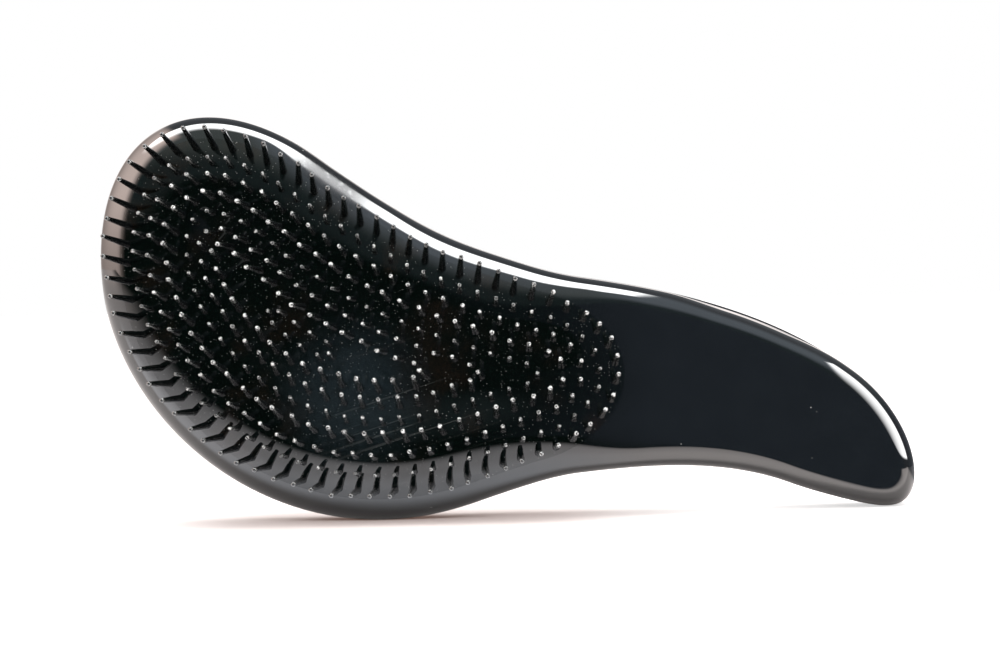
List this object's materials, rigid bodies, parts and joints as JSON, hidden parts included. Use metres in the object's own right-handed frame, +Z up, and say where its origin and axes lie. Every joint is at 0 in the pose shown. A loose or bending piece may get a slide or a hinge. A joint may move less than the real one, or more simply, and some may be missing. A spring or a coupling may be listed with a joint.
{
  "type": "paddle hair brush",
  "caption": "Hand-held detangling brush with a comma-shaped glossy body, a domed back and a dished face set with rings of tapered bristles of mixed length.",
  "frame": {"origin": "on the floor under the middle of the box, with the brush standing on its long lower edge", "axes": "+Z up, bristles face -Y, handle points to +X"},
  "size_m": [0.179, 0.0421, 0.0897],
  "materials": {
    "shell": "mirror-gloss black moulding",
    "bristle": "smoky black nylon, glossy"
  },
  "bodies": {
    "root": {"front_shell": "shell", "back_shell": "shell", "bristle_pad": "bristle"}
  },
  "joints": []
}
